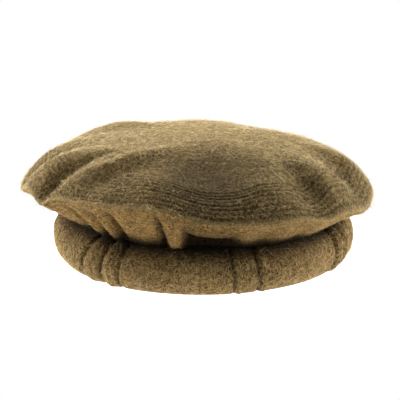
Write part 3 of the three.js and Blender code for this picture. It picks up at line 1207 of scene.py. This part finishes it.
def piece_of_copies(name, points, faces):
    """One piece from copies of a shape: the moved vertices of each copy, and the shape's own faces."""
    copies, corners = points.shape[:2]
    all_faces = faces[None] + np.arange(copies)[:, None, None] * corners
    mesh = bpy.data.meshes.new(name)
    mesh.from_pydata(points.reshape(-1, 3), [], all_faces.reshape(-1, 3))
    return placed_in_scene(name, mesh)


# %% Scatter places over a piece
deep_thins = 0.85  # share of the fibres that is missing where the painted shade is full
worn_lightens = 0.3  # of the fibres' tone, added where the wool is fully lightened by wear and painted highlight
painted_shade_darkens = 0.6  # of the fibres' tone, taken away as painted shade where that shade is full


def scattered(piece, count, random, keep):
    """Random places that keep() picks: points, directions away from the piece, and the fibres' tint there.
    """
    mesh = piece.data
    mesh.calc_loop_triangles()
    corners = np.empty(3 * len(mesh.loop_triangles), int)
    mesh.loop_triangles.foreach_get("vertices", corners)
    corners = corners.reshape(-1, 3)
    points, normals = vertex_vectors(mesh, "co"), vertex_vectors(mesh, "normal")
    painted_shade = vertex_mask(mesh, "painted_shade")
    a, b, c = (points[corners[:, i]] for i in range(3))
    area = np.linalg.norm(np.cross(b - a, c - a), axis=1)
    area *= keep((a + b + c) / 3, normals[corners[:, 0]])
    area *= 1 - deep_thins * painted_shade[corners[:, 0]]
    chosen = random.choice(len(corners), count, p=area / area.sum())
    u, v = np.sqrt(random.random(count)), random.random(count)
    weights = np.stack([1 - u, u * (1 - v), u * v], axis=1)[:, :, None]
    place = (points[corners[chosen]] * weights).sum(1)
    away = (normals[corners[chosen]] * weights).sum(1)
    # The tint is lighter with wear and painted highlight, and darker with painted shade.
    tint = (worn_lightens * vertex_mask(mesh, "worn") - painted_shade_darkens * painted_shade)[corners[chosen, 0]]
    return place, away / np.linalg.norm(away, axis=1, keepdims=True), tint


# %% Bend the fibres and lay them on the piece
fibre_droop = (0.05, 0.4)  # how far a fibre's end bends back to the piece, as a share of its rise
fibre_lengths = (0.5, 1.3)  # times the layer's length
fibre_widths = (0.7, 1.2)


def bent_fibres(spike, place, away, random, length, thickness, lift, curl):
    """Bent copies of a spike at places on a piece. lift is in degrees, and curl in radians of a wave."""
    count = len(place)
    side = np.cross(away, random.normal(size=(count, 3)))
    side /= np.linalg.norm(side, axis=1, keepdims=True)
    rise = np.radians(random.uniform(*lift, count))[:, None]
    lead = np.cos(rise) * side + np.sin(rise) * away
    other_way = np.cross(away, side)
    droop = random.uniform(*fibre_droop, (count, 1)) * np.sin(rise) * away
    swing = random.uniform(*curl, (count, 1)) * random.choice([-1, 1], (count, 1))
    phase = random.uniform(0, 2, (count, 1))
    long = length * random.uniform(*fibre_lengths, (count, 1, 1))
    thick = thickness * random.uniform(*fibre_widths, (count, 1, 1))
    t = spike[None, :, 2:3]
    turned = phase[:, None] + swing[:, None] * t
    wave = (np.sin(turned) - np.sin(phase[:, None])) / np.maximum(np.abs(swing[:, None]), 1)
    run = lead[:, None, :] * t + other_way[:, None, :] * wave - droop[:, None, :] * t * t
    across = np.cross(lead, away)
    across /= np.linalg.norm(across, axis=1, keepdims=True)
    upright = np.cross(across, lead)
    body = across[:, None, :] * spike[None, :, 0:1] + upright[:, None, :] * spike[None, :, 1:2]
    points = place[:, None, :] - away[:, None, :] * thickness + long * run + thick * body
    points[:, :, 2] = np.maximum(points[:, :, 2], 0)
    return points


def make_fuzz(name, piece, count, length, thickness, bends, lift, curl, tones, seed, keep, material):
    """Fibres scattered over a piece as one object, each of its own tone."""
    random = np.random.default_rng(seed)
    spike, spike_faces = make_fibre(bends)
    place, away, tint = scattered(piece, count, random, keep)
    points = bent_fibres(spike, place, away, random, length, thickness, lift, curl)
    fuzz = piece_of_copies(name, points, spike_faces)
    tone = random.uniform(*tones, count) + tint
    add_mask(fuzz, "tone", np.repeat(np.clip(tone, 0, 1), len(spike)))
    fuzz.data.materials.append(material)
    print(name, count, "fibres", len(fuzz.data.polygons), "faces")
    return fuzz


# %% The fibres' material


def make_fibre_wool(name, darker, lighter, sheen):
    """Wool fibres, each of its own tone, that let some light through."""
    material, tree, shader = new_material(name, 0.8, 0.2)
    add_sheen(shader, sheen, 0.4, (1, 0.85, 0.6, 1))
    shader.inputs["Subsurface Weight"].default_value = 0.7
    shader.inputs["Subsurface Radius"].default_value = (1, 0.8, 0.5)
    shader.inputs["Subsurface Scale"].default_value = 0.3 * mm
    tone = tree.nodes.new("ShaderNodeAttribute")
    tone.attribute_name = "tone"
    colour = mix_colours(tree, tone.outputs["Fac"], darker, lighter)
    tree.links.new(colour, shader.inputs["Base Color"])
    return material


crown_wool = make_fibre_wool("crown_fibres", (0.1, 0.065, 0.02, 1), (1, 0.77, 0.4, 1), 0.12)
# The wall's fibres are lighter and more golden, like its felt: painted bounce light.
wall_wool = make_fibre_wool("wall_fibres", (0.16, 0.09, 0.023, 1), (1, 0.64, 0.24, 1), 0.1)
roll_wool = make_fibre_wool("roll_fibres", (0.08, 0.05, 0.016, 1), (1, 0.7, 0.31, 1), 0.2)

# %% Where fibres grow


def above_floor(points, normals):
    """Everything but the sole and what is close to it."""
    return (points[:, 2] > 3 * mm).astype(float)


def outside_only(points, normals):
    """The wall's free stretch outside the roll, and a few on the face inside the head opening."""
    from_axis = np.hypot(*(points[:, :2] - hat_axis).T)
    outside = (from_axis > roll_middle) & (normals[:, 2] < 0.3)
    return np.where(outside, 1.0, 0.12) * above_floor(points, normals)


def upper_side(points, normals):
    """The faces that look up or out, and few of those inside the crown."""
    return np.where(normals[:, 2] > -0.45, 1.0, 0.08)


# %% [markdown]
# Each cloth piece gets two layers. The short fuzz is straight and dark to middling, and stands up to
# soften the outline. The long curls are lighter, and most of them lie almost flat. Every layer has a seed
# of its own, so that a change to one leaves the others as they are.

# %% Grow the fuzz
layers = table(
    "name count length thickness bends lift curl tones seed",
    ("crown_fuzz", 22000, 2.4 * mm, 0.12 * mm, 0, (10, 70), (0, 1), (0, 0.6), 11),
    ("crown_curls", 7500, 6.5 * mm, 0.17 * mm, 3, (3, 30), (2, 5), (0.3, 1), 12),
    ("wall_fuzz", 9000, 2 * mm, 0.12 * mm, 0, (10, 60), (0, 1), (0, 0.6), 13),
    ("wall_curls", 2500, 5 * mm, 0.16 * mm, 3, (3, 25), (2, 5), (0.3, 1), 16),
    ("roll_fuzz", 16000, 2.2 * mm, 0.12 * mm, 0, (10, 70), (0, 1), (0, 0.6), 14),
    ("roll_curls", 6500, 6.5 * mm, 0.17 * mm, 3, (3, 30), (2, 5), (0.3, 1), 15),
)
grounds = {
    "crown": {"piece": crown_panel, "keep": upper_side, "material": crown_wool},
    "wall": {"piece": gathered_wall, "keep": outside_only, "material": wall_wool},
    "roll": {"piece": roll, "keep": above_floor, "material": roll_wool},
}
loose = {}
for layer in layers:
    ground = layer["name"].split("_")[0]
    loose[layer["name"]] = make_fuzz(**layer, **grounds[ground])

# %% [markdown]
# ## The quilting stitches
#
# The margin's rows are sewn by hand in wool yarn, so each groove holds a line of short stitches with
# gaps between them. Each stitch is a small egg, drawn out along its row, and they all come from one.

# %% Sew the rows
yarn = 0.32 * mm  # half a stitch's thickness
stitch_length = 3.2 * mm
stitch_pitch = 6.4 * mm
stitch_rise = 0.1 * mm  # of a stitch's middle above its groove
row_shift = 0.37  # of the pitch, from one row to the next


def make_egg():
    """A small ball of radius 1, which is stretched into a stitch: its vertices and faces."""
    bm = bmesh.new()
    bmesh.ops.create_uvsphere(bm, u_segments=5, v_segments=4, radius=1)
    bmesh.ops.triangulate(bm, faces=bm.faces)
    return points_and_faces(bm)


def stitch_places():
    """The azimuth and the row number of every stitch."""
    rows = []
    for row in range(1, quilt_rows + 1):
        count = round(2 * math.pi * (crown_radius - row * quilt_spacing) / stitch_pitch)
        azimuth = (np.arange(count) + row_shift * row) * 360 / count
        rows.append(np.stack([azimuth, np.full(count, float(row))]))
    return np.concatenate(rows, axis=1)


def sew_rows():
    """All stitches as one object, lying in the grooves of the crown panel."""
    egg, egg_faces = make_egg()
    azimuth, row = stitch_places()
    share = 1 - (row * quilt_spacing - quilt_wander(azimuth)) / crown_radius
    place, out, away, _ = panel_face(azimuth, share)
    along = np.cross(away, out)
    points = place[:, None, :] + stitch_rise * away[:, None, :]
    for axis, (direction, half) in enumerate(((out, yarn), (away, yarn), (along, stitch_length / 2))):
        points = points + egg[None, :, axis : axis + 1] * (half * direction)[:, None, :]
    stitches = piece_of_copies("quilting_stitches", points, egg_faces)
    stitches.data.materials.append(make_yarn())
    print(len(row), "stitches", len(stitches.data.polygons), "faces")
    return stitches


def make_yarn():
    """The yarn that the rows are sewn in, darker than most of the crown's fibres."""
    material, _, shader = new_material("quilting_yarn", 0.85, 0.2)
    shader.inputs["Base Color"].default_value = (0.2, 0.14, 0.05, 1)
    return material


quilting = sew_rows()

# %% [markdown]
# ## Where each piece belongs
#
# The hat is one body, so every piece rides on it. Each cloth piece takes the place of the solid that it
# covers, which is hidden. The panel and the wall are sheets that were cut flat, and the roll is padded.
# The flat sizes were measured on the surfaces above. From the panel's middle to the seam it is 155 mm
# along the cloth, on average. The wall is 894 mm round at its top edge, where it isn't gathered, and 95
# mm long on average. The part of the tube that is wound up in the roll isn't counted.

for piece, node, felt in (
    (crown_panel, "crown_top", "crown_felt"),
    (gathered_wall, "crown_wall", "wall_felt"),
    (roll, "rolled_brim", "roll_felt"),
):
    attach(piece, "root")
    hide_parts(node)

for fuzz, felt in (
    (loose["crown_fuzz"], "crown_felt"),
    (loose["crown_curls"], "crown_felt"),
    (quilting, "crown_felt"),
    (loose["wall_fuzz"], "wall_felt"),
    (loose["wall_curls"], "wall_felt"),
    (loose["roll_fuzz"], "roll_felt"),
    (loose["roll_curls"], "roll_felt"),
):
    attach(fuzz, "root")

# %% [markdown]
# ## Table, light and camera
#
# The hat stands on a small white table, which is bright itself and throws light up under the roll and on
# to the wall. The room is white to the camera, but it lights the hat from behind far more than from above
# or from the front, and three soft lamps add to that from behind, from the left and from the right. So
# the top of the crown and the hat's edges are light, and the faces that look at the camera stay dark. One
# large light from above would be simpler, but it lights the front of the crown as well.

# %% The table
table_size = 380 * mm
table_glow = 1.3


def make_table():
    """A round white table top that gives off some light."""
    bm = bmesh.new()
    bmesh.ops.create_circle(bm, cap_ends=True, segments=96, radius=table_size / 2)
    top = piece_from(bm, "white_table")
    paper, _, shader = new_material("white_table_top", 0.9, 0.5)
    shader.inputs["Base Color"].default_value = (0.5, 0.5, 0.5, 1)
    shader.inputs["Emission Color"].default_value = (1, 1, 1, 1)
    shader.inputs["Emission Strength"].default_value = table_glow
    top.data.materials.append(paper)
    return top


make_table()

# %% The room
backdrop_light = 2.4  # of the lit backdrop behind the hat, against the white that the camera sees
ceiling_light = 0.3
front_light = 0.12


def light_room():
    """A world that is white to the camera and lights the hat from behind more than from the front."""
    world = bpy.data.worlds.new("white_room")
    bpy.context.scene.world = world
    world.use_nodes = True
    tree = world.node_tree
    lit = tree.nodes["Background"]
    direction = tree.nodes.new("ShaderNodeTexCoord").outputs["Generated"]
    parts = tree.nodes.new("ShaderNodeSeparateXYZ")
    tree.links.new(direction, parts.inputs["Vector"])
    behind = spread_out(tree, parts.outputs["Y"], -0.45, 0.25)
    low_down = calculate(tree, "SUBTRACT", 1.0, spread_out(tree, parts.outputs["Z"], 0.15, 0.5))
    backdrop = calculate(tree, "MULTIPLY", behind, low_down)
    backdrop = calculate(tree, "MULTIPLY", backdrop, backdrop_light)
    ceiling = calculate(tree, "MULTIPLY", spread_out(tree, parts.outputs["Z"], 0.3, 0.8), ceiling_light)
    strength = calculate(tree, "ADD", calculate(tree, "ADD", backdrop, ceiling), front_light)
    lit.inputs["Color"].default_value = (1, 1, 1, 1)
    tree.links.new(strength, lit.inputs["Strength"])
    seen = tree.nodes.new("ShaderNodeBackground")
    seen.inputs["Color"].default_value = (1, 1, 1, 1)
    chosen = tree.nodes.new("ShaderNodeMixShader")
    tree.links.new(tree.nodes.new("ShaderNodeLightPath").outputs["Is Camera Ray"], chosen.inputs["Fac"])
    tree.links.new(lit.outputs["Background"], chosen.inputs[1])
    tree.links.new(seen.outputs["Background"], chosen.inputs[2])
    tree.links.new(chosen.outputs["Shader"], tree.nodes["World Output"].inputs["Surface"])
    return world


light_room()
print("room lit", backdrop_light, "from behind,", ceiling_light, "from above and", front_light, "all round")

# %% The lamps
softboxes = table(
    "name place aim size power",
    ("softbox_behind", (-0.6, 0.95, 0.95), (0, 0, 0.05), 1.0, 24),
    ("softbox_left", (-1.2, 0.35, 0.6), (0, 0, 0.08), 0.6, 9),
    ("softbox_right", (1.2, 0.4, 0.45), (0, 0, 0.08), 0.6, 13),
)


def hang_light(name, place, aim, size, power):
    """A round soft lamp at a place, in metres, that is turned towards its aim."""
    lamp = bpy.data.lights.new(name, "AREA")
    lamp.shape = "DISK"
    lamp.size = size
    lamp.energy = power
    light = bpy.data.objects.new(name, lamp)
    light.location = place
    light.rotation_mode = "QUATERNION"
    light.rotation_quaternion = (Vector(aim) - Vector(place)).to_track_quat("-Z", "Y")
    bpy.context.scene.collection.objects.link(light)
    return light


for softbox in softboxes:
    hang_light(**softbox)
print(len(softboxes), "lamps hung")
bpy.context.scene.view_settings.view_transform = "Standard"

# %% The camera
camera_rise = math.radians(14)  # above the table
camera_distance = 1.0
camera_lens = 108.4  # in mm
sensor_width = 36  # in mm
aim_left = 3 * mm  # of the roll's middle
aim_height = 44.9 * mm


def place_camera():
    """A camera in front of the hat, from about as high as the photograph was taken."""
    roll_low, roll_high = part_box("rolled_brim")
    middle = (roll_low + roll_high) / 2
    aim = Vector((middle.x - aim_left, middle.y, aim_height))
    back = Vector((0, -math.cos(camera_rise), math.sin(camera_rise)))
    lens = bpy.data.cameras.new("camera")
    lens.lens = camera_lens
    lens.sensor_width = sensor_width
    camera = bpy.data.objects.new("camera", lens)
    camera.location = aim + camera_distance * back
    camera.rotation_mode = "QUATERNION"
    camera.rotation_quaternion = (-back).to_track_quat("-Z", "Y")
    bpy.context.scene.collection.objects.link(camera)
    bpy.context.scene.camera = camera
    return camera


camera = place_camera()
print("camera at", [round(v, 3) for v in camera.location])
